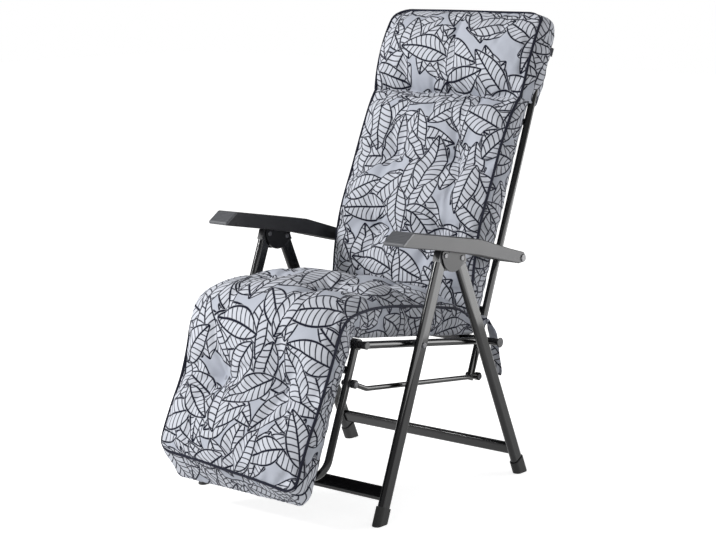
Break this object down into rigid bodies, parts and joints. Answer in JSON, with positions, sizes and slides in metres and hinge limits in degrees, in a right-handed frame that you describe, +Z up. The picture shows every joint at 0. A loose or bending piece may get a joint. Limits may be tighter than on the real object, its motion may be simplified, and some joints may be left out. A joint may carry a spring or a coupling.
{
  "type": "reclining garden armchair",
  "caption": "Folding steel tube garden armchair with a reclining back, linked footrest, lifting plastic armrests and a one-piece padded, tufted leaf-print cushion.",
  "frame": {"origin": "On the floor, under the middle of the bounding box, with the chair upright as pictured.", "axes": "+Z up, the chair faces -Y, +X is its left side as a sitter sees it."},
  "size_m": [0.6096, 1.0051, 1.1566],
  "materials": {
    "frame_paint": "gloss black powder coat",
    "fasteners": "dark zinc",
    "joint_plastic": "satin moulded",
    "arm_plastic": "fine grained",
    "grip_plastic": "ribbed",
    "foot_rubber": "matte",
    "sling_textile": "woven mesh",
    "cushion_fabric": "woven cotton blend, line-drawn leaves",
    "tag_fabric": "plain"
  },
  "bodies": {
    "front_legs": {"front_leg_left": "frame_paint", "front_leg_right": "frame_paint", "front_foot_caps": "foot_rubber", "front_leg_knuckles": "joint_plastic", "front_cross_bar": "frame_paint", "seat_pivot_bolts": "fasteners", "seat_pivot_spacers": "joint_plastic", "front_bracket_rivets": "fasteners"},
    "brackets": {"bracket_left": "joint_plastic", "bracket_right": "joint_plastic", "rear_bracket_rivets": "fasteners", "ratchet_pins": "fasteners"},
    "rear_legs": {"rear_leg_left": "frame_paint", "rear_leg_right": "frame_paint", "rear_foot_caps": "foot_rubber", "rear_leg_knuckles": "joint_plastic", "rear_cross_bar": "frame_paint"},
    "seat": {"seat_tube_left": "frame_paint", "seat_tube_right": "frame_paint", "seat_front_tube": "frame_paint", "seat_rear_tube": "frame_paint", "seat_front_plugs": "joint_plastic", "seat_rear_plugs": "joint_plastic", "seat_sling": "sling_textile", "cushion_seat": "cushion_fabric"},
    "back_bushes": {"back_pivot_bushes": "joint_plastic"},
    "back": {"back_frame": "frame_paint", "back_lower_bar": "frame_paint", "back_upper_bar": "frame_paint", "back_sling": "sling_textile", "rear_link_washers": "joint_plastic", "arm_pivot_spacers": "joint_plastic", "cushion_back": "cushion_fabric", "cushion_head": "cushion_fabric", "cushion_tag": "tag_fabric", "cushion_tie": "cushion_fabric"},
    "footrest_bushes": {"footrest_pivot_bushes": "joint_plastic"},
    "footrest": {"footrest_frame": "frame_paint", "footrest_upper_bar": "frame_paint", "footrest_sling": "sling_textile", "front_link_bolts": "fasteners", "front_link_washers": "joint_plastic", "cushion_foot": "cushion_fabric"},
    "link_bolts": {"rear_link_bolts": "fasteners"},
    "links": {"link_left": "frame_paint", "link_right": "frame_paint"},
    "arm_bolts": {"arm_pivot_bolts": "fasteners"},
    "arm_bushes": {"arm_pivot_bushes": "joint_plastic"},
    "armrest_left": {"armrest_left": "arm_plastic", "armrest_grip_left": "grip_plastic", "armrest_rail_left": "arm_plastic"},
    "armrest_right": {"armrest_right": "arm_plastic", "armrest_grip_right": "grip_plastic", "armrest_rail_right": "arm_plastic"}
  },
  "joints": [
    {"name": "fold", "type": "hinge", "parent": "front_legs", "child": "seat", "pos_m": [0, -0.11526, 0.39884], "axis": [-1, 0, 0], "range_deg": [0, 65], "deforming": ["cushion_seat", "cushion_back"]},
    {"name": "bracket_swing", "type": "hinge", "parent": "front_legs", "child": "brackets", "pos_m": [0, -0.0375, 0.60036], "axis": [-1, 0, 0], "range_deg": [0, 65]},
    {"name": "rear_leg_swing", "type": "hinge", "parent": "brackets", "child": "rear_legs", "pos_m": [0, 0.02793, 0.5874], "axis": [1, 0, 0], "range_deg": [0, 33.2]},
    {"name": "back_level", "type": "hinge", "parent": "brackets", "child": "back_bushes", "pos_m": [0, 0.26453, 0.55791], "axis": [1, 0, 0], "range_deg": [0, 65]},
    {"name": "recline", "type": "hinge", "parent": "back_bushes", "child": "back", "pos_m": [0, 0.18677, 0.35639], "axis": [1, 0, 0], "range_deg": [-35, 0], "deforming": ["cushion_foot"]},
    {"name": "footrest_level", "type": "hinge", "parent": "seat", "child": "footrest_bushes", "pos_m": [0, -0.29499, 0.4241], "axis": [1, 0, 0], "range_deg": [0, 65]},
    {"name": "footrest_swing", "type": "hinge", "parent": "footrest_bushes", "child": "footrest", "pos_m": [0, -0.29499, 0.4241], "axis": [1, 0, 0], "range_deg": [-35, 0]},
    {"name": "link_level", "type": "hinge", "parent": "back", "child": "link_bolts", "pos_m": [0, 0.15419, 0.27196], "axis": [-1, 0, 0], "range_deg": [0, 65]},
    {"name": "link_swing", "type": "hinge", "parent": "link_bolts", "child": "links", "pos_m": [0, 0.15419, 0.27196], "axis": [-1, 0, 0], "range_deg": [-35, 0]},
    {"name": "arm_level", "type": "hinge", "parent": "back", "child": "arm_bolts", "pos_m": [0, 0.26453, 0.55791], "axis": [-1, 0, 0], "range_deg": [0, 65]},
    {"name": "arm_follow", "type": "hinge", "parent": "arm_bolts", "child": "arm_bushes", "pos_m": [0, 0.26453, 0.55791], "axis": [-1, 0, 0], "range_deg": [-26.05, 0]},
    {"name": "armrest_lift_left", "type": "hinge", "parent": "arm_bushes", "child": "armrest_left", "pos_m": [0, 0.26453, 0.55791], "axis": [-1, 0, 0], "range_deg": [0, 12]},
    {"name": "armrest_lift_right", "type": "hinge", "parent": "arm_bushes", "child": "armrest_right", "pos_m": [0, 0.26453, 0.55791], "axis": [-1, 0, 0], "range_deg": [0, 12]}
  ],
  "couplings": [
    {"joint": "bracket_swing", "follows": "fold", "ratio": 1},
    {"joint": "rear_leg_swing", "follows": "fold", "ratio": 0.51},
    {"joint": "back_level", "follows": "fold", "ratio": 1},
    {"joint": "footrest_level", "follows": "fold", "ratio": 1},
    {"joint": "link_level", "follows": "fold", "ratio": 1},
    {"joint": "arm_level", "follows": "fold", "ratio": 1},
    {"joint": "footrest_swing", "follows": "recline", "ratio": 1},
    {"joint": "link_swing", "follows": "recline", "ratio": 1},
    {"joint": "arm_follow", "follows": "recline", "ratio": 0.743}
  ]
}
